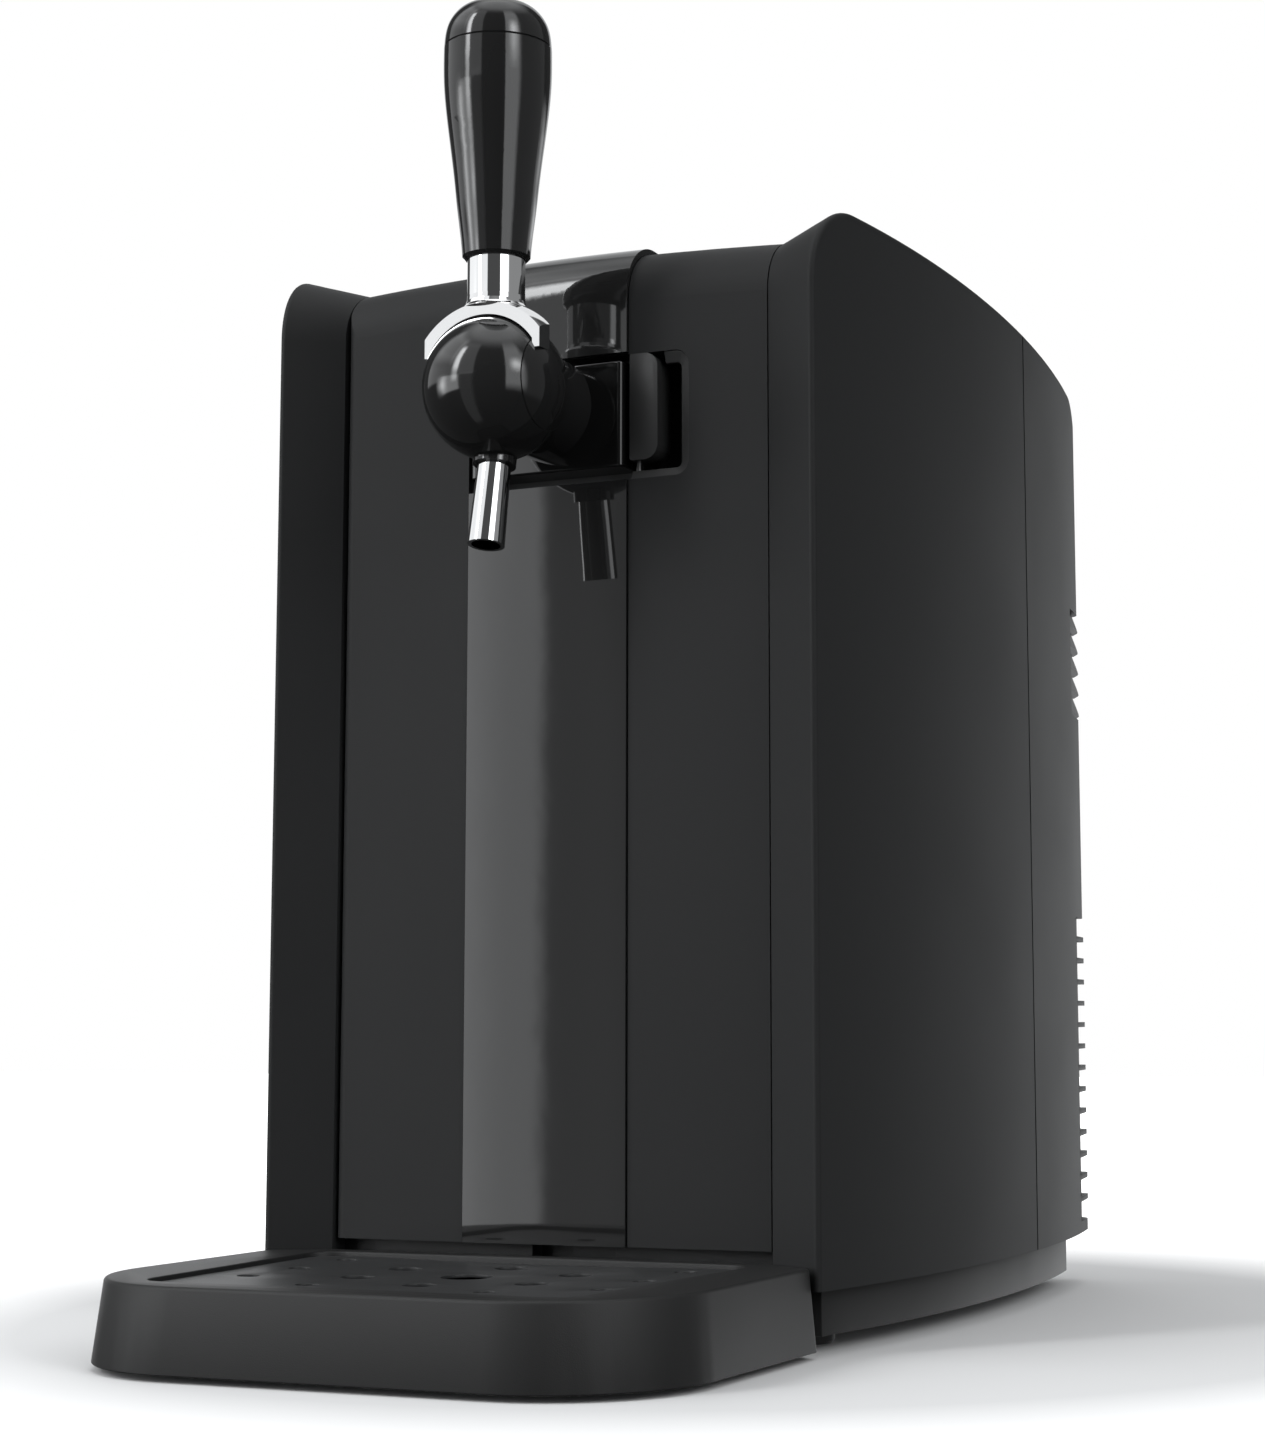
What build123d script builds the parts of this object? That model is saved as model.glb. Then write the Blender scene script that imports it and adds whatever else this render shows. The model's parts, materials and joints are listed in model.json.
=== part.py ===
from build123d import *
import os
from math import cos, radians, sin, sqrt

# Mini keg beer dispenser, millimetres. X is the width, Y runs from the front to the back, Z is up.
# While modelling, Y = 0 is at the front edges of the side flanges and Z = 0 is the table.
# save() moves every piece so that the finished part has its origin at the middle of its footprint.

# ---- casing
HALF_WIDTH = 131.5        # at the widest place of the bowed sides
WIDEST_Y = 152
SIDE_RADIUS = 740         # bow of the sides, seen from above
BODY_BACK = 312
SEAM_Y = 192.6            # side panels in front of it, rear cover behind it
SEAM_GAP = 1.4
GAP = 0.5                 # shadow gap between outer pieces
WALL = 3
FOOT_HEIGHT = 5.9
PLINTH_TOP = 22
CASING_BOTTOM = 22.7
PLINTH_INSET = 7.7
RIM = 1.8                 # rounding of the outer edges
DOOR_HALF = 92.3
JAMB_X = DOOR_HALF + GAP
BEVEL_X = 132             # where the outer section of the flange loft stands
MIDDLE_RADII = (22.5, 20)   # upper front and upper back rounding between the flanges
TOP_LIMIT = 440           # above every casing piece
FORM_BOTTOM = 10          # below every casing piece
FRONT_LIMIT = -20         # in front of every casing piece

# ---- door
DOOR_BOTTOM = 35
DOOR_BACK = 43
DOOR_TOP_BACK = 45.2
DOOR_DEPTH = (-20, 60)    # cutting depth that takes in the whole door
SKIN = 2.8
PLATE_TOP = 400           # top of the door's back plate
HINGE = (-87.8, 17.5)     # x, y of the hinge axis, centre of the door's rounded left edge
HINGE_RADIUS = 4.5        # roundness of that edge
HINGE_HEIGHTS = (62, 350)
KNUCKLE_RADIUS = 3
ARM_HALF = 5              # half height of a hinge arm
ARM_TURN_Y = (14.5, 18.5) # where the arm turns outwards, behind the axis
CATCH_Z = (378, 392)      # magnets in the door, steel plates in the casing
FREE_EDGE_RADIUS = 180.2  # swing radius of the door's free edge
STRIP_HALF = 34.3
CHANNEL_Z = (319.9, 369.3)
CHANNEL_BACK = 25
RECESS_X = (34.8, 60)
RECESS_Z = (319.9, 368.2)
PADDLE_AXIS = (37.8, 15.2)
PADDLE_DEPTH = 11

# ---- tap
TAP = (0, -28, 350)       # centre of the ball and of the lever's turn
BALL_RADIUS = 27.2
CAP_X = 20.9              # flat inner face of the side caps
ARCH_RADIUS = (28, 32.4)
ARCH_HALF = 24.3
PIN_RADIUS = 3
BARREL_RADIUS = 20
VALVE_RADIUS = 5          # bore of the valve slide
NECK_TOP = 398.8
SPOUT_TOP = (0, -28.5, 320)
SPOUT_TIP = (0, -34, 290.3)
RUNNING = 0.05            # radial clearance of a turning or sliding fit

# ---- keg chamber
KEG_CENTRE_Y = 137
CHAMBER_RADIUS = 90
CHAMBER_Z = (42, 366)
LINER = 2
LAND_Y = 46               # front face of the chamber frame, the door gasket lands on it
OPENING_HALF = 86.3
FRAME_TOP = 376           # top of the chamber frame, the top cover's lip stands on it
FOAM_TOP = 381
FOAM_BACK = 246
FOAM_HALF = 112
AIR_Y = KEG_CENTRE_Y + 14 # air hose through the chamber's ceiling
COUPLER_PIN = (KEG_CENTRE_Y + 22, CHAMBER_Z[1] - 12)    # y, z of the lever's pivot
PUMP = (24, 165, FOAM_TOP + 8.5)                        # outlet of the air pump

# ---- drip tray
TRAY_FRONT = -138
TRAY_Z = (2.3, 31)
COVER_TOP = 29.4
COVER_SEAT = 27

# ---- cooling at the back
COOLER_Z = 95
FAN_Y = (275, 300)
GRILLE_Z = (27.6, 161.5)
LOUVRE_Z = (252.4, 300.9)
VENT_DEPTH = 29           # how far the vent windows reach round the back corners
VENT_INSET = 2.2          # how far the vents' side cheeks lie below the surface
VENT_PLATE_Y = BODY_BACK - 9
INLET = (-62, 207)        # x, z of the mains inlet; the switch sits at the same height
INLET_HALF = (14, 10)     # half width and half height
SWITCH_X = -26
SWITCH_HALF = (10.5, 7.5)
SWITCH_PIVOT_Y = 303
SWITCH_TILT = 7

Y_MIDDLE = (TRAY_FRONT + BODY_BACK) / 2


# ---- helpers

def block(x, y, z):
    """Box given by its (low, high) span on each axis."""
    centre = [(low + high) / 2 for low, high in (x, y, z)]
    size = [high - low for low, high in (x, y, z)]
    return Pos(*centre) * Box(*size)


def rod(radius, start, end):
    """Round bar between two points."""
    start, end = Vector(*start), Vector(*end)
    return Plane(origin=(start + end) / 2, z_dir=end - start) * Cylinder(radius, (end - start).length)


def across(y, z):
    """Block over the whole width of the casing."""
    return block((-150, 150), y, z)


def column(outline, z):
    """Upright prism over a plan outline."""
    return extrude(Pos(0, 0, z[0]) * outline, amount=z[1] - z[0])


def rounded(points, radius):
    """Closed plan outline with rounded corners; radius is one value or one per corner."""
    return make_face(FilletPolyline(*points, radius=radius, close=True))


def turned(points, centre):
    """Solid of revolution about an upright axis, from (radius, z) points."""
    wire = Polyline(*[(r, z) for r, z in points], close=True)
    profile = Plane(origin=(centre[0], centre[1], 0), x_dir=(1, 0, 0), z_dir=(0, -1, 0)) * make_face(wire)
    return revolve(profile, axis=Axis((centre[0], centre[1], 0), (0, 0, 1)))


def on_back(sketch, y):
    """Lay a sketch on an upright plane that faces the back, its x to +X and its y to +Z."""
    return Plane(origin=(0, y, 0), x_dir=(-1, 0, 0), z_dir=(0, 1, 0)) * mirror(sketch, about=Plane.YZ)


def left_and_right(shape):
    return shape + mirror(shape, about=Plane.YZ)


def save(name, shape):
    export_step(Pos(0, -Y_MIDDLE, 0) * shape, f"parts/{name}.step")


# ---- the casing's outer form

def plan(inset=0, front=FRONT_LIMIT, back=BODY_BACK, corner=0):
    """Footprint with bowed sides, moved inwards by inset."""
    centre = HALF_WIDTH - SIDE_RADIUS
    circle = Circle(SIDE_RADIUS - inset)
    outline = Pos(centre, WIDEST_Y) * circle & Pos(-centre, WIDEST_Y) * circle
    outline = outline & Pos(0, (front + back) / 2) * Rectangle(4 * HALF_WIDTH, back - front)
    if corner:
        outline = fillet(outline.vertices().group_by(Axis.Y)[-1], corner)
    return outline


def section(x, front, top_front, top_back, dip, radii, inset):
    """Side view of the casing at one x, with a slightly dipped top and rounded upper corners."""
    y0, y1 = front + inset, BODY_BACK - inset
    z0, z1 = top_front - inset, top_back - inset
    top = ThreePointArc((y0, z0), ((y0 + y1) / 2, (z0 + z1) / 2 - dip), (y1, z1))
    sides = Polyline((y1, z1), (y1, FORM_BOTTOM), (y0, FORM_BOTTOM), (y0, z0))
    face = make_face(top + sides)
    for pick, radius in zip((0, -1), radii):
        upper = face.vertices().filter_by(lambda v: v.Y > CASING_BOTTOM)
        face = fillet(upper.sort_by(Axis.X)[pick], radius - inset)
    return Plane(origin=(x, 0, 0), x_dir=(0, 1, 0), z_dir=(1, 0, 0)) * face


def jamb_section(side, inset):
    return section(side * JAMB_X, 13, 411, 398, 1, MIDDLE_RADII, inset)


def flange_form(side, inset=0):
    """Form over one side panel: its front and top rise outwards in a bevel."""
    outer = section(side * BEVEL_X, -8.4, 423.3, 402, 2.5, (32, 27), inset)
    return loft([jamb_section(side, inset), outer], ruled=True)


def middle_form(inset=0):
    """Form over the door and the top cover, crowned across its width."""
    crown = section(0, 12, 413.7, 400.8, 1, MIDDLE_RADII, inset)
    return loft([jamb_section(-1, inset), crown, jamb_section(1, inset)])


def casing_form(inset=0):
    return flange_form(-1, inset) + middle_form(inset) + flange_form(1, inset)


# ---- base

def base_plinth():
    """Recessed base with a raised deck, and the sill under the door with its notch for the tray."""
    front, back, corner = 15, 293, 8
    body = column(plan(PLINTH_INSET, front, back, corner), (FOOT_HEIGHT, PLINTH_TOP))
    deck = column(plan(10.5, front + 3, back - 3, corner), (PLINTH_TOP, CASING_BOTTOM))
    sill = block((-JAMB_X, JAMB_X), (22, LAND_Y), (CASING_BOTTOM, DOOR_BOTTOM - 0.6))
    notch = block((-10, 25), (21, 29), (23.5, 40))
    return body + deck + sill - notch


def foot_places():
    return [(x, y) for x in (-92, 92) for y in (45, 262)]


def body_feet():
    foot = turned([(0, 0), (9, 0), (10, 1.2), (10, FOOT_HEIGHT), (0, FOOT_HEIGHT)], (0, 0))
    return Compound([Pos(x, y) * foot for x, y in foot_places()])


# ---- casing

def side_panel():
    """Right side panel: bowed wall, bevelled front and top flange, jamb and bottom lip."""
    z = (CASING_BOTTOM, TOP_LIMIT)
    span = block((JAMB_X, 2 * HALF_WIDTH), (-20, SEAM_Y), z)
    shell = column(plan(), z) & flange_form(1) & span
    bow = shell.faces().filter_by(GeomType.CYLINDER).sort_by(Axis.X)[-1]
    rim = bow.edges().filter_by(lambda e: (e @ 0.5).Y < SEAM_Y - 1 and (e @ 0.5).Z > CASING_BOTTOM + 1)
    shell = fillet(rim, RIM)
    hollow = column(plan(WALL), (CASING_BOTTOM + 2.5, TOP_LIMIT)) & flange_form(1, WALL)
    hollow = hollow & block((JAMB_X, 2 * HALF_WIDTH), (-20, SEAM_Y + 1), z)
    jamb = block((JAMB_X, JAMB_X + 2.5), (-20, LAND_Y + LINER), z)
    bottom = column(plan(12), (CASING_BOTTOM - 1, CASING_BOTTOM + 3))
    bottom = bottom & block((JAMB_X - 1, 2 * HALF_WIDTH), (LAND_Y + LINER, SEAM_Y + 1), (0, TOP_LIMIT))
    return shell - (hollow - jamb) - bottom


def side_panel_left():
    """Mirror of the right panel, with slots in its jamb for the two hinge arms."""
    panel = mirror(side_panel(), about=Plane.YZ)
    low, high = HINGE[1] + ARM_TURN_Y[0], HINGE[1] + ARM_TURN_Y[1]
    for z in HINGE_HEIGHTS:
        panel -= block((-JAMB_X - 3, -JAMB_X), (low, high), (z - ARM_HALF, z + ARM_HALF))
    return panel


def rear_window(z):
    """Space of a vent insert, cut through the back wall and both back corners."""
    return across((BODY_BACK - VENT_DEPTH, BODY_BACK + 1), z)


def tongue():
    """Thin lip of the rear cover that reaches under the side panels and closes the seam."""
    z = (CASING_BOTTOM + 6, TOP_LIMIT)
    front = SEAM_Y + SEAM_GAP
    slip, thickness = WALL + 0.2, 1.6
    lip = column(plan(slip), z) & casing_form(slip) & across((SEAM_Y - 6, front + 1), z)
    root = column(plan(WALL - 1), z) & casing_form(WALL - 1) & across((front, front + 3), z)
    return lip + root - (column(plan(slip + thickness), z) & casing_form(slip + thickness))


def rear_cover():
    """Hood over the back half, with two vent windows and the cut-outs of inlet and switch."""
    z = (CASING_BOTTOM, TOP_LIMIT)
    front = SEAM_Y + SEAM_GAP
    shell = column(plan(0, front), z) & casing_form()
    bows = shell.faces().filter_by(GeomType.CYLINDER).filter_by(lambda f: f.area > 9000)
    rims = [e for e in bows.edges() if (e @ 0.5).Z > 350]
    shell = fillet(rims, RIM) & column(plan(0, front, BODY_BACK, 7), z)
    hollow = column(plan(WALL, front - 1, BODY_BACK - WALL, 4), (CASING_BOTTOM + 2.5, TOP_LIMIT))
    shell -= hollow & casing_form(WALL)
    shell -= column(plan(12, front - 1, BODY_BACK - 12, 4), (CASING_BOTTOM - 1, CASING_BOTTOM + 3))
    shell += tongue()
    for window in (GRILLE_Z, LOUVRE_Z):
        shell -= rear_window(window)
    shell -= inlet_block(0, (290, BODY_BACK + 1)) + switch_block(0, (290, BODY_BACK + 1))
    for x, zs in screw_places():
        shell -= rod(1.6, (x, BODY_BACK - WALL - 1, zs), (x, BODY_BACK + 1, zs))
        shell -= rod(3.3, (x, BODY_BACK - 0.9, zs), (x, BODY_BACK + 1, zs))
    return shell


def vent_tray(z):
    """Inner part of a vent insert: back plate, cheeks and shelves behind the window's edges."""
    front = BODY_BACK - VENT_DEPTH - 6
    tray = column(plan(WALL + 0.1, front, BODY_BACK - WALL - 0.1, 4), (z[0] - 2, z[1] + 2))
    tray -= column(plan(0, BODY_BACK - VENT_DEPTH), z)
    tray += column(plan(VENT_INSET, BODY_BACK - VENT_DEPTH + 0.2, VENT_PLATE_Y), z)
    return tray - column(plan(WALL + 2.6, front - 1, VENT_PLATE_Y - 2.5, 2), (z[0] - 3, z[1] + 3))


def vent_slots(z, count, solid):
    """Air slots through the back plate, one between each two fins."""
    pitch = (z[1] - z[0]) / count
    slots = Part()
    for i in range(count):
        low = z[0] + i * pitch + solid
        slots += block((-96, 96), (BODY_BACK - 14, BODY_BACK - 8.9), (low + 1, low + pitch - solid - 1))
    return slots


def vent_outline():
    """Plan of the fins: a band round the back, from the body's surface to the vent's cheeks and plate."""
    band = plan(0, BODY_BACK - VENT_DEPTH + 0.2, BODY_BACK, 3)
    return band - plan(VENT_INSET + 0.3, 0, VENT_PLATE_Y - 0.5)


def rear_grille():
    """Fourteen fins that wrap round both back corners."""
    count, fin = 14, 2.2
    pitch = (GRILLE_Z[1] - GRILLE_Z[0]) / count
    insert = vent_tray(GRILLE_Z) - vent_slots(GRILLE_Z, count, fin)
    for i in range(1, count):
        low = GRILLE_Z[0] + i * pitch - fin / 2
        insert += column(vent_outline(), (low, low + fin))
    return insert


def louvre_hood(pitch):
    """One hood, sloping outwards as it goes down and undercut at its lower edge."""
    front = BODY_BACK - VENT_DEPTH + 0.2
    lip, foot = -0.78 * pitch, -0.97 * pitch
    crest = Pos(0, 0, lip) * plan(0, front)
    hood = loft([plan(VENT_INSET, front), crest], ruled=True)
    hood += loft([crest, Pos(0, 0, foot) * plan(VENT_INSET - 0.4, front)], ruled=True)
    profile = [(-60, 0), (-8, 0), (-2, -0.48 * pitch), (0, lip), (-5, foot), (-60, foot)]
    back = make_face(Polyline(*[(BODY_BACK + y, z) for y, z in profile], close=True))
    return hood & extrude(Plane(origin=(-150, 0, 0), x_dir=(0, 1, 0), z_dir=(1, 0, 0)) * back, amount=300)


def rear_louvres():
    """Five hooded louvres near the top that wrap round both back corners."""
    count = 5
    pitch = (LOUVRE_Z[1] - LOUVRE_Z[0]) / count
    insert = vent_tray(LOUVRE_Z)
    inside = column(vent_outline(), LOUVRE_Z)
    hood = louvre_hood(pitch)
    for i in range(count):
        insert += Pos(0, 0, LOUVRE_Z[1] - i * pitch) * hood & inside
    return insert


def screw_places():
    return [(x, z) for x in (-98, 98) for z in (182, 330)] + [(0, 376)]


def rear_screws():
    """Screws that hold the rear cover, their heads sunk flush."""
    screws = []
    for x, z in screw_places():
        shank = rod(1.6, (x, BODY_BACK - 14, z), (x, BODY_BACK - 0.9, z))
        head = rod(3.2, (x, BODY_BACK - 0.9, z), (x, BODY_BACK - 0.1, z))
        screws.append(shank + head)
    return Compound(screws)


def top_cover():
    """Crowned cover behind the door, with a front lip that stands on the chamber frame."""
    span = block((-JAMB_X + GAP, JAMB_X - GAP), (LAND_Y, SEAM_Y), (FRAME_TOP, TOP_LIMIT))
    lip_back = LAND_Y + LINER
    cover = middle_form() & span
    cover -= middle_form(WALL) & block((-JAMB_X, JAMB_X), (lip_back, SEAM_Y + 1), (340, TOP_LIMIT))
    for x in catch_places():
        cover -= block((x - 12, x + 12), (LAND_Y - 1, LAND_Y + 1), CATCH_Z)
    return cover


# ---- keg chamber

def chamber_outline(radius, front=LAND_Y):
    """Straight sides at the front and a half-round back."""
    straight = Pos(0, (front + KEG_CENTRE_Y) / 2) * Rectangle(2 * radius, KEG_CENTRE_Y - front)
    behind = Pos(0, KEG_CENTRE_Y + radius) * Rectangle(2 * radius, 2 * radius)
    return straight + (Pos(0, KEG_CENTRE_Y) * Circle(radius) & behind)


def air_port(radius):
    """Bore through the chamber ceiling and the foam for the air hose."""
    return rod(radius, (0, AIR_Y, CHAMBER_Z[1] - 1), (0, AIR_Y, FOAM_TOP + 1))


def chamber_liner():
    """Smooth inner tank, open to the front, with a flat frame for the gasket."""
    low, high = CHAMBER_Z
    liner = column(chamber_outline(CHAMBER_RADIUS + LINER), (low - LINER, high + LINER))
    liner += block((-JAMB_X, JAMB_X), (LAND_Y, LAND_Y + LINER), (DOOR_BOTTOM + 1, FRAME_TOP))
    liner -= column(chamber_outline(CHAMBER_RADIUS, LAND_Y + LINER), (low, high))
    liner -= block((-OPENING_HALF, OPENING_HALF), (LAND_Y - 1, LAND_Y + LINER), (low, high))
    return liner - air_port(3.5)


def chamber_insulation():
    """Foam round the liner, with a window for the cold block."""
    corner = 60
    foam = rounded([(-FOAM_HALF, LAND_Y + LINER), (FOAM_HALF, LAND_Y + LINER),
                    (FOAM_HALF, FOAM_BACK), (-FOAM_HALF, FOAM_BACK)], [1, 1, corner, corner])
    foam = column(foam, (CASING_BOTTOM, FOAM_TOP))
    tank = column(chamber_outline(CHAMBER_RADIUS + LINER), (CHAMBER_Z[0] - LINER, CHAMBER_Z[1] + LINER))
    window = block((-25, 25), (200, FOAM_BACK + 1), (COOLER_Z - 25, COOLER_Z + 25))
    jambs = left_and_right(block((0, JAMB_X + 3), (0, LAND_Y + LINER + 0.1), (0, FOAM_TOP)))
    return foam - tank - window - jambs - air_port(3.5)


def keg_seat_ring():
    """Low ring that centres the keg's foot."""
    low = CHAMBER_Z[0]
    profile = [(74, low), (87.5, low), (87.5, low + 4), (85, low + 4), (83, low + 2), (74, low + 2)]
    ring = turned(profile, (0, KEG_CENTRE_Y))
    entry = block((-120, 120), (0, KEG_CENTRE_Y - 45), (0, 60))
    return ring - entry


# ---- keg coupler at the chamber's ceiling

def coupler_guide():
    """Flanged sleeve under the ceiling; the head slides in it and the lever pivots on its two ears."""
    ceiling = CHAMBER_Z[1]
    at = (0, KEG_CENTRE_Y)
    low = ceiling - 23
    sleeve = turned([(12.5, low), (18, low), (18, ceiling - 4), (30, ceiling - 4), (30, ceiling),
                     (12.5, ceiling)], at)
    ears = left_and_right(block((16, 21), (KEG_CENTRE_Y + 14, KEG_CENTRE_Y + 28), (low + 4, ceiling - 4)))
    bore = rod(12.5, (*at, low - 1), (*at, ceiling + 1))
    pin = rod(2, (-22, *COUPLER_PIN), (22, *COUPLER_PIN))
    return sleeve + ears - bore - pin


def coupler_head():
    """Plunger that presses on the keg's valve."""
    low = CHAMBER_Z[1] - 31
    profile = [(4, low), (9, low), (9, low + 4), (12.1, low + 6), (12.1, low + 22), (4, low + 22)]
    return turned(profile, (0, KEG_CENTRE_Y))


def coupler_lever():
    """Stirrup lever, pulled down at the front, with its pivot stubs in the ears of the guide."""
    y, z = COUPLER_PIN
    front = 60
    arm = block((22, 25.5), (front, y + 6), (z - 4, z + 4))
    stub = rod(2 - RUNNING, (16.5, y, z), (23, y, z))
    grip = rod(5, (-25.5, front, z), (25.5, front, z))
    return left_and_right(arm + stub) + grip


# ---- cooling

def cold_block():
    """Aluminium block through the foam, shaped to the liner's back."""
    body = block((-24, 24), (205, 248), (COOLER_Z - 24, COOLER_Z + 24))
    return body - column(chamber_outline(CHAMBER_RADIUS + LINER), (0, 400))


def peltier_module():
    return block((-20, 20), (248, 252), (COOLER_Z - 20, COOLER_Z + 20))


def heat_sink():
    """Extruded heat sink with upright fins."""
    half, count, fin = 47, 15, 1.6
    sink = block((-half, half), (252, 257), (COOLER_Z - half, COOLER_Z + half))
    pitch = (2 * half - fin) / (count - 1)
    for i in range(count):
        x = -half + i * pitch
        sink += block((x, x + fin), (257, FAN_Y[0]), (COOLER_Z - half, COOLER_Z + half))
    return sink


def fan_frame():
    """Square fan frame with a round duct and a motor plate on three struts."""
    half, duct, hub = 46, 44, 17
    y0, y1 = FAN_Y
    frame = block((-half, half), FAN_Y, (COOLER_Z - half, COOLER_Z + half))
    frame = fillet(frame.edges().filter_by(Axis.Y), 4)
    frame -= rod(duct, (0, y0 - 1, COOLER_Z), (0, y1 + 1, COOLER_Z))
    for angle in (90, 210, 330):
        strut = block((0, duct + 1), (y1 - 3, y1), (-2, 2))
        frame += Pos(0, 0, COOLER_Z) * Rot(0, angle, 0) * strut
    frame += rod(hub, (0, y1 - 3, COOLER_Z), (0, y1, COOLER_Z))
    for x in (-39, 39):
        for z in (-39, 39):
            frame -= rod(2, (x, y0 - 1, COOLER_Z + z), (x, y1 + 1, COOLER_Z + z))
    return frame - rod(2, (0, y0, COOLER_Z), (0, y1 + 1, COOLER_Z))


def fan_rotor():
    """Hub with seven pitched blades and its shaft."""
    blades, reach, hub, pitch_angle = 7, 42, 17, 38
    y0, y1 = FAN_Y[0] + 2, FAN_Y[1] - 4
    middle = (y0 + y1) / 2
    rotor = rod(hub, (0, y0, COOLER_Z), (0, y1, COOLER_Z))
    rotor += rod(2 - RUNNING, (0, y1, COOLER_Z), (0, FAN_Y[1] - 0.5, COOLER_Z))
    for i in range(blades):
        blade = Pos((hub + reach) / 2 - 1, 0, 0) * Rot(pitch_angle, 0, 0) * Box(reach - hub + 2, 1.6, 20)
        rotor += Pos(0, middle, COOLER_Z) * Rot(0, i * 360 / blades, 0) * blade
    return rotor & rod(reach, (0, y0, COOLER_Z), (0, FAN_Y[1], COOLER_Z))


def power_supply():
    """Closed supply on the back of the foam."""
    box = block((10, 80), (FOAM_BACK, 284), (195, 320))
    return fillet(box.edges().filter_by(Axis.Y), 3)


def fitting_block(x, half, grow, y):
    """Block round the middle of a rear fitting, larger than its half sizes by grow."""
    z = INLET[1]
    return block((x - half[0] - grow, x + half[0] + grow), y, (z - half[1] - grow, z + half[1] + grow))


def inlet_block(grow, y):
    return fitting_block(INLET[0], INLET_HALF, grow, y)


def switch_block(grow, y):
    return fitting_block(SWITCH_X, SWITCH_HALF, grow, y)


def mains_inlet():
    """Appliance inlet with three blades, its flange behind the rear wall."""
    body = inlet_block(0, (286, BODY_BACK)) + inlet_block(3.5, (BODY_BACK - 6, BODY_BACK - WALL))
    body -= inlet_block(-1.8, (295, BODY_BACK + 1))
    for dx, dz in ((-7, 1.5), (0, 4.5), (7, 1.5)):
        x, z = INLET[0] + dx, INLET[1] + dz
        body += block((x - 1, x + 1), (290, BODY_BACK - 2), (z - 2, z + 2))
    return body


def switch_pivot(radius, half):
    """Upright pivot of the rocker."""
    z = INLET[1]
    return rod(radius, (SWITCH_X, SWITCH_PIVOT_Y, z - half), (SWITCH_X, SWITCH_PIVOT_Y, z + half))


def switch_bezel():
    """Frame that holds the rocker in the rear wall."""
    bezel = switch_block(0, (290, BODY_BACK)) + switch_block(2.2, (BODY_BACK - 6, BODY_BACK - WALL))
    return bezel - switch_block(-1.5, (296, BODY_BACK + 1)) - switch_pivot(1.5, 8.5)


def power_switch():
    """Rocker, its face dished and tilted to one side."""
    half_width, half_height, z = 7.8, 5.5, INLET[1]
    face = Polyline((-half_width, 0), (-half_width, 6.5), (0, 5.6), (half_width, 6.5), (half_width, 0),
                    (0, -4.5), close=True)
    rocker = column(make_face(face), (z - half_height, z + half_height))
    tilt = Pos(SWITCH_X, SWITCH_PIVOT_Y) * Rot(0, 0, SWITCH_TILT)
    return tilt * rocker + switch_pivot(1.5 - RUNNING, 7)


def air_pump():
    """Small diaphragm pump above the foam: motor, pump head and outlet."""
    x, y, z = PUMP
    motor = rod(8.4, (x + 20, y, z), (x + 58, y, z))
    head = block((x + 4, x + 24), (y - 13, y + 13), (FOAM_TOP, FOAM_TOP + 17))
    return motor + head + rod(4, (x, y, z), (x + 4, y, z))


def air_hose():
    """Hose from the pump to the coupler guide."""
    _, y, z = PUMP
    route = FilletPolyline(PUMP, (0, y, z), (0, AIR_Y, z), (0, AIR_Y, CHAMBER_Z[1]), radius=6)
    start = Plane(origin=route @ 0, z_dir=route % 0)
    return sweep(start * Circle(2.5), path=route)


def control_board():
    """Circuit board on four posts, with its larger components."""
    x, y, z = (-84, -14), (112, 172), FOAM_TOP + 6
    board = block(x, y, (z, z + 1.6))
    for px in (x[0] + 4, x[1] - 4):
        for py in (y[0] + 4, y[1] - 4):
            board += rod(3, (px, py, FOAM_TOP), (px, py, z))
    board += block((-74, -56), (122, 140), (z + 1.6, z + 11))
    board += block((-46, -38), (120, 150), (z + 1.6, z + 8))
    return board + rod(5, (-28, 158, z + 1.6), (-28, 158, z + 11))


# ---- door

def hinge_rod(radius):
    """Round bar about the whole hinge axis."""
    return rod(radius, (*HINGE, 0), (*HINGE, TOP_LIMIT))


def door_form(inset=0):
    """Door outside, moved inwards by inset; its left edge is round about the hinge axis."""
    x, y = HINGE
    left = -DOOR_HALF + inset
    y_back = DOOR_TOP_BACK if inset == 0 else DOOR_BACK - 3
    form = middle_form(inset)
    form = form & block((left, DOOR_HALF), (FRONT_LIMIT, y_back), (DOOR_BOTTOM + inset, TOP_LIMIT))
    corner = block((left - 1, x), (FRONT_LIMIT, y), (0, TOP_LIMIT)) - hinge_rod(HINGE_RADIUS - inset)
    return (form & hinge_rod(FREE_EDGE_RADIUS - inset)) - corner


def knuckle_space():
    """Room in the door's left edge for the fixed hinge knuckles and the sweep of their arms."""
    x, y = HINGE
    room = Part()
    for z in HINGE_HEIGHTS:
        room += rod(KNUCKLE_RADIUS + 0.3, (x, y, z - 9.3), (x, y, z + 9.3))
        room += block((x - 10, x + 0.4), (y - 2.5, y + 19.2), (z - ARM_HALF - 0.3, z + ARM_HALF + 0.3))
    return room


def pin_bores(radius):
    x, y = HINGE
    return Compound([rod(radius, (x, y, z - 22), (x, y, z + 22)) for z in HINGE_HEIGHTS])


def door_skin():
    """Outer skin of the whole door front, open to the back."""
    width = (-DOOR_HALF + SKIN, DOOR_HALF)
    inner = middle_form(SKIN) & block(width, DOOR_DEPTH, (DOOR_BOTTOM + SKIN, TOP_LIMIT))
    inner = inner & hinge_rod(FREE_EDGE_RADIUS - SKIN)
    corner = block((-DOOR_HALF, HINGE[0]), (FRONT_LIMIT, HINGE[1]), (0, TOP_LIMIT))
    corner -= hinge_rod(HINGE_RADIUS - SKIN)
    behind = block((-DOOR_HALF, DOOR_HALF), (DOOR_BACK - 3, 60), (0, PLATE_TOP))
    return door_form() - (inner - corner) - behind


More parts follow.
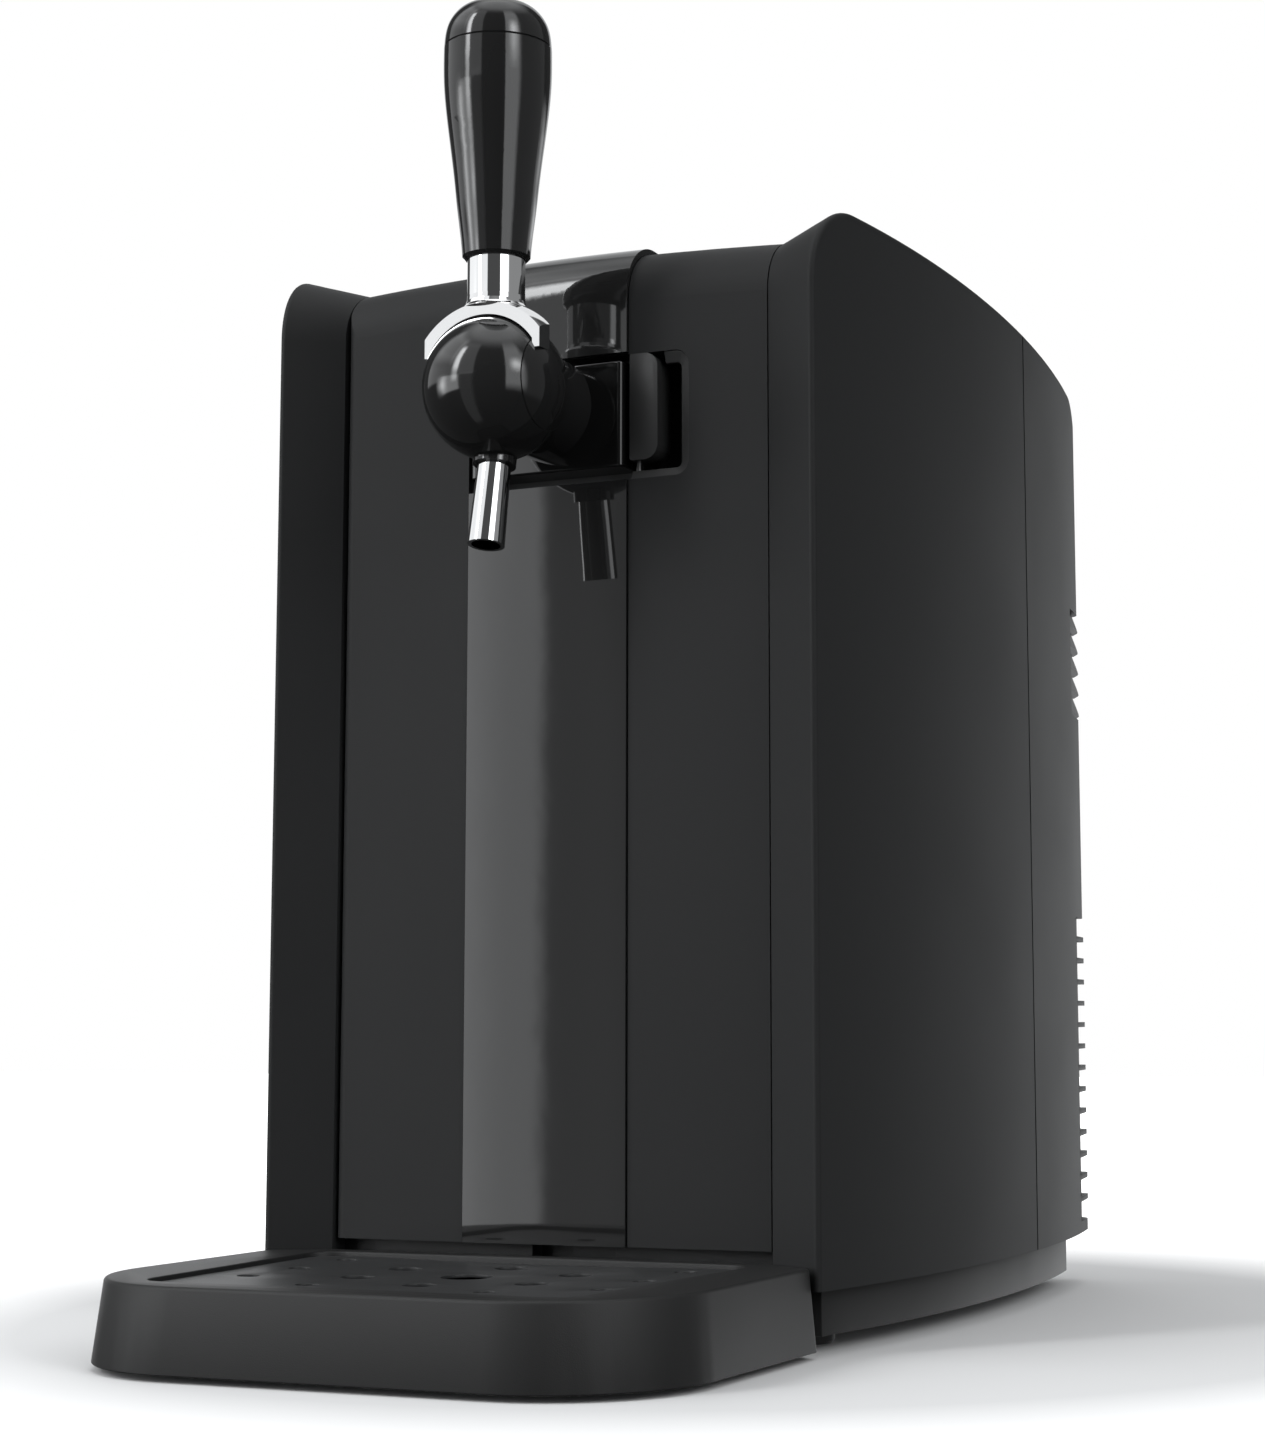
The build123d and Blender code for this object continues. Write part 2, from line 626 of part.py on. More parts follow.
def recess_opening(y, right):
    """Outline of the finger recess at one depth, rounded at its right corners."""
    left = RECESS_X[0] - 8
    z0, z1 = RECESS_Z
    return on_back(rounded([(left, z0), (right, z0), (right, z1), (left, z1)], [1, 6, 6, 1]), y)


def recess_form():
    """Finger recess right of the bar, its right wall drafted."""
    x0, x1 = RECESS_X
    pocket = loft([recess_opening(-5, x1 + 3), recess_opening(37, x1 - 4)], ruled=True)
    return pocket & block((x0, x1 + 10), DOOR_DEPTH, (0, TOP_LIMIT))


def door_panel_left(skin):
    panel = skin & block((-100, -STRIP_HALF - GAP), DOOR_DEPTH, (0, TOP_LIMIT))
    return panel - knuckle_space()


def door_panel_right(skin):
    panel = skin & block((STRIP_HALF + GAP, 100), DOOR_DEPTH, (0, TOP_LIMIT))
    return panel - recess_form() - paddle_bore()


def gloss_strip(z):
    """Gloss strip over a span of z, slightly proud of the matte panels."""
    sides = [section(x, 12, 413.3, 400.3, 1, MIDDLE_RADII, 0) for x in (-JAMB_X, JAMB_X)]
    crown = section(0, 11.2, 415.9, 403, 1, MIDDLE_RADII, 0)
    strip = loft([sides[0], crown, sides[1]]) - middle_form(SKIN)
    return strip & block((-STRIP_HALF, STRIP_HALF), (FRONT_LIMIT, DOOR_TOP_BACK), z)


def door_inner_shell():
    """Inner door moulding: back plate, channel of the bar, recess, pockets and the kicker's slot."""
    shell = door_form(SKIN) + rear_plate()
    shell -= insulation_pocket()
    shell -= block((-STRIP_HALF - GAP, STRIP_HALF + GAP), (FRONT_LIMIT, CHANNEL_BACK), CHANNEL_Z)
    shell -= recess_form()
    shell -= kicker_slot()
    shell -= display_pocket()
    for x in catch_places():
        shell -= magnet(x)
    shell -= along_y(12, 0, 38) + along_y(6, 30, 50)
    return shell - knuckle_space() - pin_bores(1.5 + RUNNING) - paddle_bore()


def rear_plate():
    return block((-90, 90), (DOOR_BACK - 3, DOOR_BACK), (DOOR_BOTTOM + 2, PLATE_TOP))


def insulation_pocket():
    return block((-80, 80), (FRONT_LIMIT, DOOR_BACK - 3), (DOOR_BOTTOM + 8, 306))


def door_insulation():
    return door_form(SKIN) & insulation_pocket() - display_pocket()


def display_pocket():
    return block((-24, 24), (FRONT_LIMIT, 22), (250, 300))


def display_board():
    """Small board with the temperature display, behind the gloss strip."""
    board = block((-23, 23), (20.4, 22), (251, 299))
    return board + block((-14, 14), (16.5, 20.4), (262, 284))


def door_gasket():
    """Seal ring on the back plate, a little short of the chamber frame."""
    outer, inner = OPENING_HALF + 3.1, OPENING_HALF + 0.1
    low, high = CHAMBER_Z
    y = (DOOR_BACK, DOOR_BACK + 2.5)
    ring = block((-outer, outer), y, (low - 3.4, high + 3.4))
    return ring - block((-inner, inner), (0, 60), (low - 0.4, high + 0.4))


def catch_places():
    return (-66, 72)


def magnet(x):
    return block((x - 10, x + 10), (DOOR_BACK - 3, DOOR_BACK), (CATCH_Z[0] + 1, CATCH_Z[1] - 1))


def door_magnets():
    return Compound([magnet(x) for x in catch_places()])


def catch_plates():
    """Steel plates in the frame that the door magnets hold to."""
    return Compound([block((x - 12, x + 12), (LAND_Y, LAND_Y + 1), CATCH_Z) for x in catch_places()])


def hinge_brackets():
    """Fixed knuckles in the door's left edge, on arms that turn out through the jamb to a plate."""
    x, y = HINGE
    plate_x = (-JAMB_X - 5.5, -JAMB_X - 2.5)
    brackets = []
    for z in HINGE_HEIGHTS:
        height = (z - ARM_HALF, z + ARM_HALF)
        knuckle = rod(KNUCKLE_RADIUS, (x, y, z - 9), (x, y, z + 9))
        arm = block((x - 2.2, x - 0.2), (y, y + ARM_TURN_Y[1]), height)
        arm += block((plate_x[0], x - 0.2), (y + ARM_TURN_Y[0], y + ARM_TURN_Y[1]), height)
        plate = block(plate_x, (y + 6, y + 27), (z - 12, z + 12))
        brackets.append(knuckle + arm + plate - rod(1.5, (x, y, z - 22), (x, y, z + 22)))
    return Compound(brackets)


def hinge_pins():
    return pin_bores(1.5)


def tap_bar():
    """Gloss cross bar that carries the tap."""
    bar = block((-33, 33), (10, CHANNEL_BACK), (325, 365.8))
    bar = fillet(bar.edges().filter_by(Axis.Z).group_by(Axis.Y)[0], 2)
    bar = fillet(bar.faces().sort_by(Axis.Y)[0].edges(), 0.8)
    return bar - along_y(12, 0, 30)


# ---- latch paddle

def paddle_bore():
    x, y = PADDLE_AXIS
    return rod(1, (x, y, RECESS_Z[0] - 6), (x, y, RECESS_Z[1] + 6))


def latch_paddle():
    """Pull paddle with a kicker arm that pushes the door off its magnets."""
    x, y = PADDLE_AXIS
    z0, z1 = 327, 368
    arm_z, tip_z = (362, 367), (372, 384)
    face = rounded([(35.6, z0), (47.4, z0), (47.4, z1), (35.6, z1)], [1, 5.5, 5.5, 1])
    plate = extrude(on_back(face, 11.4), amount=PADDLE_DEPTH)
    knuckle = rod(2.4, (x, y, z0), (x, y, z1))
    arm = block((x - 1.5, x + 1.5), (y, 31), arm_z) + block((22, x + 1.5), (28, 31), arm_z)
    heel = block((22, 25), (28, 33), (arm_z[0], tip_z[1])) + block((22, 25), (28, 41.6), tip_z)
    return plate + knuckle + arm + heel - rod(1 + RUNNING, (x, y, 300), (x, y, 400))


def kicker_slot():
    """Room behind the channel for the kicker arm, and an opening for its tip above the gasket."""
    front, back = CHANNEL_BACK + 1.5, DOOR_BACK - 3
    room = block((20, 50), (front, back), (360.5, 368.5)) + block((20, 36), (front, back), (360.5, 386))
    return room + block((20, 36), (front, DOOR_DEPTH[1]), (371, 386))


def paddle_pin():
    return paddle_bore()


# ---- tap

def along_x(radius, x0, x1):
    """Round bar on the lever's axis."""
    return rod(radius, (x0, TAP[1], TAP[2]), (x1, TAP[1], TAP[2]))


def along_y(radius, y0, y1):
    """Round bar on the barrel's axis."""
    return rod(radius, (0, y0, TAP[2]), (0, y1, TAP[2]))


def ball():
    return Pos(*TAP) * Sphere(BALL_RADIUS)


def tap_ball():
    """Middle of the ball, fixed to the barrel, with the pivot bore and the bores of valve and spout."""
    reach = CAP_X - 0.3
    body = ball() & block((-reach, reach), (-80, 20), (300, 400))
    body -= along_x(PIN_RADIUS + RUNNING, -30, 30)
    body -= along_y(VALVE_RADIUS, TAP[1] + 8, 0)
    return body - rod(3.5, SPOUT_TOP, (0, TAP[1] + 12, TAP[2]))


def tap_side_cap():
    """Right cap of the ball, turning with the lever."""
    rim = sqrt(BALL_RADIUS ** 2 - CAP_X ** 2)
    bend = BALL_RADIUS * cos(radians(20)), BALL_RADIUS * sin(radians(20))
    dome = ThreePointArc((CAP_X, rim), bend, (BALL_RADIUS, 0))
    flat = Polyline((BALL_RADIUS, 0), (CAP_X, 0), (CAP_X, rim))
    cap = Pos(*TAP) * revolve(make_face(dome + flat), axis=Axis.X)
    return cap - along_x(PIN_RADIUS, CAP_X, CAP_X + 2.5)


def lever_pivot_pin():
    return along_x(PIN_RADIUS, -CAP_X - 2.5, CAP_X + 2.5)


def shell_round_ball(inner, outer):
    return Pos(*TAP) * (Sphere(outer) - Sphere(inner))


def tap_arch():
    """Chrome saddle over the ball, a dished band whose ends rest on the side caps."""
    x, y, z = TAP
    band = (y - 10.5, y - 2.8)
    arch = shell_round_ball(*ARCH_RADIUS)
    wings = block((-ARCH_HALF, ARCH_HALF), band, (z + 11.5, z + 40))
    saddle = rod(13.4, (x, y, z), (x, y, z + 40)) & block((-20, 20), (band[0], y + 20), (z, z + 40))
    lug = shell_round_ball(BALL_RADIUS, ARCH_RADIUS[0] + 0.1)
    lug = lug & block((CAP_X + 0.4, ARCH_HALF), band, (z + 11.5, z + 30))
    return (arch & (wings + saddle)) + left_and_right(lug)


def handle_neck():
    """Chrome neck between arch and grip."""
    x, y, z = TAP
    side = [(12.6, 372), (12.6, 380), (11.5, 381.2), (11, 382.6), (10.8, 384.5), (10.8, NECK_TOP)]
    return turned([(0, 372), *side, (0, NECK_TOP)], (x, y)) - Pos(x, y, z) * Sphere(ARCH_RADIUS[1])


def turned_curve(points, closing):
    """Solid of revolution about the handle's axis: a smooth curve, closed by straight lines."""
    x, y, _ = TAP
    outline = Spline(*points) + Polyline(points[-1], *closing, points[0])
    profile = Plane(origin=(x, y, 0), x_dir=(1, 0, 0), z_dir=(0, -1, 0)) * make_face(outline)
    return revolve(profile, axis=Axis((x, y, 0), (0, 0, 1)))


def handle_grip():
    """Black grip that widens upwards."""
    points = [(12.7, NECK_TOP + 1.3), (13.6, 409), (14.8, 418.5), (15.8, 428), (17, 438), (18.25, 447.5),
              (19.4, 457), (20.15, 466), (20.35, 474), (20.3, 480.2)]
    low = points[0]
    grip = turned_curve(points, [(0, points[-1][1]), (0, low[1])])
    grip += turned([(0, NECK_TOP), (11.5, NECK_TOP), low, (0, low[1])], TAP)
    return grip + turned([(0, 480.2), (20, 480.2), (19.8, 480.6), (0, 480.6)], TAP)


def handle_cap():
    """Domed cap of the grip."""
    points = [(20.2, 481), (19.85, 485), (18.9, 489), (17, 492.5), (14.2, 495.4), (9, 497.9), (0, 499)]
    seat = turned([(0, 480.6), (19.8, 480.6), (20.2, 481), (0, 481)], TAP)
    return turned_curve(points, [(0, 481)]) + seat


def tap_barrel():
    """Barrel from the ball to the bar, with its threaded tail and nut inside the door."""
    barrel = along_y(BARREL_RADIUS, -14, 10) + along_y(12, 10, 38)
    return barrel - ball() - along_y(VALVE_RADIUS, -20, 40)


def valve_slide():
    """Slide that the lever pushes back to open the beer valve."""
    front, back = TAP[1] + 8.5, 26
    return along_y(VALVE_RADIUS - RUNNING, front, back) - along_y(2.5, front, back)


def spout_line(t):
    """Point on the spout's axis, 0 at its top and 1 at its tip."""
    return tuple(a + (b - a) * t for a, b in zip(SPOUT_TOP, SPOUT_TIP))


def spout():
    """Chrome pouring tube, slightly wider at its tip, open all through."""
    start, end = Vector(*spout_line(-0.07)), Vector(*SPOUT_TIP)
    along = Plane(origin=(start + end) / 2, z_dir=end - start)
    return along * Cone(6.2, 6.9, (end - start).length) - rod(5.4, spout_line(-0.2), spout_line(1.1))


def spout_collar():
    """Dark collar that holds the spout under the ball."""
    collar = rod(8, spout_line(-0.3), spout_line(-0.03)) - ball()
    return collar - rod(6.3, spout_line(-0.1), spout_line(1)) - rod(5.4, spout_line(-0.4), spout_line(1))


# ---- drip tray

def tray_outline(half, front, inset=0):
    rear, bend = 11.5 - inset, 91
    points = [(-bend, rear), (bend, rear), (half - inset, -0.5 - inset), (half - inset, front + inset),
              (inset - half, front + inset), (inset - half, -0.5 - inset)]
    return rounded(points, [3, 3, 3, 55 - inset, 55 - inset, 3])


def tray_form(inset, z):
    """Tray outside, wider at its bottom, moved inwards by inset."""
    bottom = Pos(0, 0, z[0]) * tray_outline(116, TRAY_FRONT, inset)
    top = Pos(0, 0, z[1]) * tray_outline(113.2, TRAY_FRONT + 2.5, inset)
    return loft([bottom, top], ruled=True)


def cover_outline(grow=0):
    points = [(-90, 2), (90, 2), (82.5, -120), (-82.5, -120)]
    return offset(rounded(points, 10), amount=grow) if grow else rounded(points, 10)


def drip_tray():
    """Tray with a basin, a seat for the cover and a tongue into the notch of the sill."""
    body = tray_form(0, TRAY_Z)
    body = fillet(body.faces().sort_by(Axis.Z)[-1].outer_wire().edges(), 1.4)
    hollow = tray_form(2.5, TRAY_Z) & across((-150, 50), (0, COVER_SEAT - 2.5))
    hollow -= column(cover_outline(-2.5), (0, TRAY_Z[1]))
    body -= hollow
    body -= across((-150, 50), (0, TRAY_Z[0] + 0.7)) & column(cover_outline(-2.5), (0, 10))
    body -= column(cover_outline(0.7), (COVER_SEAT, 40))
    body -= column(cover_outline(-5), (5.5, 40))
    return body + block((-8, 23), (11, 27.5), (24, 29))


def tray_feet():
    pads = [rod(8, (x, y, 0), (x, y, TRAY_Z[0] + 0.7)) for x in (-68, 68) for y in (-104, -12)]
    return Compound(pads)


def drain_holes():
    """Nineteen holes: one at the centre, six round it and twelve outside."""
    pitch_x, pitch_y, centre_y = 35, 31.5, -43
    holes = []
    for column_index in range(-2, 3):
        rows = 5 - abs(column_index)
        for row in range(rows):
            x = column_index * pitch_x
            y = (row - (rows - 1) / 2) * pitch_y
            ring = round(sqrt((x / pitch_x) ** 2 * 0.75 + (y / pitch_y) ** 2))
            radius = (9.2, 6, 4)[ring]
            holes.append(rod(radius, (x, centre_y + y, 20), (x, centre_y + y, 40)))
    return holes


def drip_tray_cover():
    """Dished plate with drain holes."""
    plate = column(cover_outline(), (COVER_SEAT, COVER_TOP))
    dish_radius = 2700
    plate -= Pos(0, -58, COVER_TOP - 1.4 + dish_radius) * Sphere(dish_radius)
    for hole in drain_holes():
        plate -= hole
    return plate


def build():
    os.makedirs("parts", exist_ok=True)
    skin = door_skin()
    pieces = {
        "base_plinth": base_plinth(),
        "body_feet": body_feet(),
        "side_panel_right": side_panel(),
        "side_panel_left": side_panel_left(),
        "rear_cover": rear_cover(),
        "rear_grille": rear_grille(),
        "rear_louvres": rear_louvres(),
        "rear_screws": rear_screws(),
        "top_cover": top_cover(),
        "chamber_liner": chamber_liner(),
        "chamber_insulation": chamber_insulation(),
        "keg_seat_ring": keg_seat_ring(),
        "coupler_guide": coupler_guide(),
        "coupler_head": coupler_head(),
        "coupler_lever": coupler_lever(),
        "cold_block": cold_block(),
        "peltier_module": peltier_module(),
        "heat_sink": heat_sink(),
        "fan_frame": fan_frame(),
        "fan_rotor": fan_rotor(),
        "power_supply": power_supply(),
        "mains_inlet": mains_inlet(),
        "switch_bezel": switch_bezel(),
        "power_switch": power_switch(),
        "air_pump": air_pump(),
        "air_hose": air_hose(),
        "control_board": control_board(),
        "hinge_brackets": hinge_brackets(),
        "hinge_pins": hinge_pins(),
        "catch_plates": catch_plates(),
        "door_magnets": door_magnets(),
        "door_inner_shell": door_inner_shell(),
        "door_insulation": door_insulation(),
        "door_gasket": door_gasket(),
        "door_panel_left": door_panel_left(skin),
        "door_panel_right": door_panel_right(skin),
        "gloss_strip_lower": gloss_strip((DOOR_BOTTOM, CHANNEL_Z[0])),
        "gloss_strip_upper": gloss_strip((CHANNEL_Z[1], TOP_LIMIT)),
        "display_board": display_board(),
        "tap_bar": tap_bar(),
        "latch_paddle": latch_paddle(),
        "paddle_pin": paddle_pin(),
        "tap_barrel": tap_barrel(),
        "tap_ball": tap_ball(),
        "valve_slide": valve_slide(),
        "lever_pivot_pin": lever_pivot_pin(),
        "tap_side_cap_right": tap_side_cap(),
        "tap_side_cap_left": mirror(tap_side_cap(), about=Plane.YZ),
        "tap_arch": tap_arch(),
        "handle_neck": handle_neck(),
        "handle_grip": handle_grip(),
        "handle_cap": handle_cap(),
        "spout": spout(),
        "spout_collar": spout_collar(),
        "drip_tray": drip_tray(),
        "tray_feet": tray_feet(),
        "drip_tray_cover": drip_tray_cover(),
    }
    for name, shape in pieces.items():
        save(name, shape)


build()
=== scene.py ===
import json
import math

import bpy
from mathutils import Matrix, Vector


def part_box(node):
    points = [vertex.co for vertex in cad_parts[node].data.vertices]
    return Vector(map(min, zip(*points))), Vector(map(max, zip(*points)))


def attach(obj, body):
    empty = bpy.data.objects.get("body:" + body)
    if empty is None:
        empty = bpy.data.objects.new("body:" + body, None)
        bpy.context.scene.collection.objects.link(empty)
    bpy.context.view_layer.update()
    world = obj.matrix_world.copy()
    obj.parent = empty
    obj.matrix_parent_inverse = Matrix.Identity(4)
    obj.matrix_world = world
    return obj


# Mini keg beer dispenser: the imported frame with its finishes, soft edges, recess surround and studio.
# Metres in the row frame: X is the width, +Y the back, Z up.

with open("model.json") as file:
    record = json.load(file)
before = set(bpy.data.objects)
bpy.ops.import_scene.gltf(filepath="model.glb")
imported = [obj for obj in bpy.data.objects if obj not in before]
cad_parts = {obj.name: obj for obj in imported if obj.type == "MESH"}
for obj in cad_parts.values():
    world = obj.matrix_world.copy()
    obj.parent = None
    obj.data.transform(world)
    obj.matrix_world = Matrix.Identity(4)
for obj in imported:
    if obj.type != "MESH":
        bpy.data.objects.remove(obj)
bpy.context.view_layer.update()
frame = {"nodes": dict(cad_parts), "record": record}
scene = bpy.context.scene
NODES = frame["nodes"]


# ---- camera: the photograph's own angle and crop, fitted to its outline

PHOTO_WIDTH, PHOTO_HEIGHT = 1265, 1455                  # pixels
FOCAL_LENGTH = 2769.719                                 # pixels
OPTICAL_CENTRE = (786.977, 658.846)                     # pixels from the left and from the top
SENSOR = 36                                             # millimetres along the photograph's longer side
CAMERA_AT = (0.5084775, -0.9912478, 0.1190929)
YAW, PITCH, ROLL = 0.4192911, 0.12758465, -0.00562857   # radians
CLIP_END = 30                                           # well beyond the floor's far corner


def place_camera():
    forward = Vector((-math.sin(YAW) * math.cos(PITCH), math.cos(YAW) * math.cos(PITCH), math.sin(PITCH)))
    side = Vector((math.cos(YAW), math.sin(YAW), 0))
    up = side.cross(forward)
    right = math.cos(ROLL) * side + math.sin(ROLL) * up
    up = right.cross(forward)
    data = bpy.data.cameras.new("camera")
    data.sensor_width = SENSOR
    data.lens = FOCAL_LENGTH * SENSOR / PHOTO_HEIGHT
    data.shift_x = (PHOTO_WIDTH / 2 - OPTICAL_CENTRE[0]) / PHOTO_HEIGHT
    data.shift_y = (OPTICAL_CENTRE[1] - PHOTO_HEIGHT / 2) / PHOTO_HEIGHT
    data.clip_end = CLIP_END
    camera = bpy.data.objects.new("camera", data)
    axes = Matrix((right, up, -forward)).transposed().to_4x4()
    camera.matrix_world = Matrix.Translation(Vector(CAMERA_AT)) @ axes
    scene.collection.objects.link(camera)
    scene.camera = camera
    scene.view_settings.view_transform = "Standard"


place_camera()


# ---- node material helpers

class Nodes:
    """Builds the node tree of a new material."""

    def __init__(self, name):
        self.material = bpy.data.materials.new(name)
        self.start(self.material, "ShaderNodeOutputMaterial")

    def start(self, owner, output_kind):
        owner.use_nodes = True
        self.tree = owner.node_tree
        self.tree.nodes.clear()
        self.out = self.add(output_kind)

    def add(self, kind, inputs=None, **settings):
        node = self.tree.nodes.new(kind)
        for key, value in settings.items():
            setattr(node, key, value)
        for key, value in (inputs or {}).items():
            self.put(node.inputs[key], value)
        return node

    def put(self, socket, value):
        """Link a socket to another one's output, or set its value."""
        if isinstance(value, bpy.types.NodeSocket):
            self.tree.links.new(value, socket)
        else:
            socket.default_value = value

    def coords(self):
        return self.add("ShaderNodeTexCoord").outputs["Object"]

    def noise(self, scale, detail, rough):
        node = self.add("ShaderNodeTexNoise", {"Scale": scale, "Detail": detail, "Roughness": rough,
                                                "Vector": self.coords()})
        return node.outputs["Fac"]

    def spread(self, value, low, high, start=0.3, end=0.7):
        """Map start to end, by default the span where a noise mostly lies, onto low to high."""
        node = self.add("ShaderNodeMapRange", {"Value": value, "From Min": start, "From Max": end,
                                                "To Min": low, "To Max": high})
        return node.outputs["Result"]

    def mix(self, factor, a, b):
        node = self.add("ShaderNodeMix", data_type="RGBA")
        self.put(node.inputs["Factor"], factor)
        self.put(node.inputs["A"], a)
        self.put(node.inputs["B"], b)
        return node.outputs["Result"]

    def bump(self, height, strength, distance):
        return self.add("ShaderNodeBump", {"Height": height, "Strength": strength,
                                           "Distance": distance}).outputs["Normal"]

    def surface(self, **inputs):
        """A principled shader on the output; an underscore in a name stands for a space."""
        shader = self.add("ShaderNodeBsdfPrincipled")
        for key, value in inputs.items():
            self.put(shader.inputs[key.replace("_", " ")], value)
        self.tree.links.new(shader.outputs["BSDF"], self.out.inputs["Surface"])
        return self.material


GRAIN_DEPTH = 0.00008   # spark-eroded grain of moulded plastic
RIPPLE_DEPTH = 0.0002   # orange peel of polished plastic and metal


def grey(value, warm=0.0):
    return (value * (1 + warm), value, value * (1 - warm), 1)


def moulded(name, value, rough, grain=0.5, cool=0.0, ior=1.5):
    """Moulded plastic with a fine grain and a faint cloud in its tone and roughness."""
    n = Nodes(name)
    fine = n.noise(2400, 2, 0.6)
    broad = n.noise(14, 3, 0.5)
    base = n.mix(n.spread(broad, 0, 1), grey(value * 0.96, -cool), grey(value * 1.05, -cool))
    return n.surface(Base_Color=base, Roughness=n.spread(broad, rough - 0.02, rough + 0.02), IOR=ior,
                     Normal=n.bump(fine, grain, GRAIN_DEPTH))


def gloss(name, value, rough):
    """Polished plastic with a faint orange peel."""
    n = Nodes(name)
    wave = n.noise(55, 2, 0.4)
    haze = n.noise(9, 4, 0.5)
    return n.surface(Base_Color=grey(value), Roughness=n.spread(haze, rough * 0.8, rough * 1.25), IOR=1.5,
                     Normal=n.bump(wave, 0.06, RIPPLE_DEPTH))


def metal(name, value, rough):
    """Bare or plated metal with a slight ripple."""
    n = Nodes(name)
    ripple = n.noise(40, 2, 0.4)
    haze = n.noise(30, 4, 0.5)
    return n.surface(Base_Color=grey(value), Metallic=1.0,
                     Roughness=n.spread(haze, rough * 0.8, rough * 1.3),
                     Normal=n.bump(ripple, 0.02, RIPPLE_DEPTH))


# ---- finishes: one for each material slot of the record

SLOTS = {
    "matte_charcoal": moulded("matte_charcoal", 0.016, 0.58, cool=0.02, ior=1.27),
    "dark_plinth": moulded("dark_plinth", 0.012, 0.55, ior=1.4),
    "gloss_black": gloss("gloss_black", 0.006, 0.03),
    "tap_gloss": gloss("tap_gloss", 0.014, 0.07),
    "chrome": metal("chrome", 0.86, 0.035),
    "rubber_black": moulded("rubber_black", 0.010, 0.75),
    "inner_plastic": moulded("inner_plastic", 0.035, 0.5),
    "liner_plastic": moulded("liner_plastic", 0.5, 0.32),
    "foam": moulded("foam", 0.62, 0.9, grain=1.0),
    "aluminium": metal("aluminium", 0.72, 0.28),
    "steel": metal("steel", 0.58, 0.25),
    "board_green": gloss("board_green", 0.06, 0.35),
    "white_plastic": moulded("white_plastic", 0.75, 0.35),
    "ceramic": moulded("ceramic", 0.7, 0.4),
    "hose_clear": gloss("hose_clear", 0.4, 0.2),
}

# nodes whose finish differs from the rest of their slot
FINISHES = {
    "latch_paddle": moulded("paddle_satin", 0.020, 0.34, grain=0.3, ior=1.4),
    # painted light: the tray cover's base is lighter than the charcoal, so its upward-facing top reads
    # brighter
    "drip_tray_cover": moulded("cover_painted_light", 0.028, 0.5, cool=0.02, ior=1.4),
    # painted light: both gloss strips get a lighter base than gloss_black, the upper one lighter still, to
    # lift their dark reflections
    "gloss_strip_lower": gloss("strip_gloss", 0.013, 0.03),
    "gloss_strip_upper": gloss("strip_gloss_upper", 0.016, 0.04),
    "paddle_pin": metal("black_steel", 0.10, 0.4),
    # painted light: a lighter base than the charcoal, to brighten the recess walls that lie in deep shade
    "door_inner_shell": moulded("inner_shell", 0.030, 0.5, ior=1.4),
}


def shade_smooth(obj):
    for polygon in obj.data.polygons:
        polygon.use_smooth = True


node_slot = {part["node"]: part["material_slot"] for part in frame["record"]["subparts"]}
for node_name, obj in NODES.items():
    obj.data.materials.clear()
    obj.data.materials.append(FINISHES.get(node_name, SLOTS[node_slot[node_name]]))
    shade_smooth(obj)


# ---- softened edges of the blocky pieces; curved glossy ones stay as packed, to keep their reflections

SOFT_ANGLE = math.radians(35)   # edges sharper than this are rounded
SOFT_SEGMENTS = 3
WELD_DISTANCE = 1e-6
FLAT_ANGLE = math.radians(0.2)
SOFT_EDGES = {"base_plinth": 0.0006, "latch_paddle": 0.0006, "drip_tray": 0.0008, "drip_tray_cover": 0.0004,
              "rear_grille": 0.0003, "heat_sink": 0.0002, "power_supply": 0.0006, "coupler_guide": 0.0004}


def round_edges(obj, width):
    bevel = obj.modifiers.new("soft_edges", "BEVEL")
    bevel.width = width
    bevel.segments = SOFT_SEGMENTS
    bevel.limit_method = "ANGLE"
    bevel.angle_limit = SOFT_ANGLE
    bevel.use_clamp_overlap = True
    bevel.harden_normals = True


def soften(obj, width):
    """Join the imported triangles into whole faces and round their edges, all by modifiers."""
    weld = obj.modifiers.new("weld", "WELD")
    weld.merge_threshold = WELD_DISTANCE
    flat = obj.modifiers.new("flat", "DECIMATE")
    flat.decimate_type = "DISSOLVE"
    flat.angle_limit = FLAT_ANGLE
    round_edges(obj, width)


for node_name, width in SOFT_EDGES.items():
    soften(NODES[node_name], width)


# ---- the sloped surround of the finger recess

CORNER_STEPS = 8
OUTER_RADIUS, INNER_RADIUS = 0.0058, 0.0020
OPENING_GAP = 0.0006                        # between the surround and the record's finger opening
REACH_LEFT = 0.0126                         # how far the surround goes past the opening on each side
REACH_BELOW, REACH_ABOVE = 0.0040, 0.0051
PADDLE_GAP = 0.0020                         # from the paddle's right edge to the end of the upper arm
WALL_GAP_FRONT, WALL_GAP_BACK = 0.0001, 0.0008
LIP, SLOPE_FOOT, BACK = 0.0004, 0.0019, 0.0034     # depths behind the panel's face
LINING_EDGE = 0.0004
WALL_SEARCH = 0.012                         # the recess's right wall lies this near to the opening
FACE_DEPTH = 0.002                          # the front part of that wall


def add_mesh(name, points, faces, material):
    mesh = bpy.data.meshes.new(name)
    mesh.from_pydata(points, [], faces)
    mesh.materials.append(material)
    obj = bpy.data.objects.new(name, mesh)
    scene.collection.objects.link(obj)
    return obj


def skin(rings):
    """Points and faces of a closed skin through rings of points, with a cap on both end rings."""
    count = len(rings[0])
    points = [point for ring in rings for point in ring]
    faces = []
    for a in range(0, len(points) - count, count):
        b = a + count
        for k in range(count):
            m = (k + 1) % count
            faces.append((a + k, b + k, b + m, a + m))
    faces.append(tuple(range(count)))
    faces.append(tuple(reversed(range(len(points) - count, len(points)))))
    return points, faces


def corner_path(left, right, bottom, top, top_end, radius):
    """Along the bottom, up the right side and back along the top, with two round corners."""
    path = [(left, bottom)]
    for first_turn, centre in ((-90, bottom + radius), (0, top - radius)):
        for k in range(CORNER_STEPS + 1):
            turn = math.radians(first_turn + 90 * k / CORNER_STEPS)
            path.append((right - radius + radius * math.cos(turn), centre + radius * math.sin(turn)))
    path.append((top_end, top))
    return path


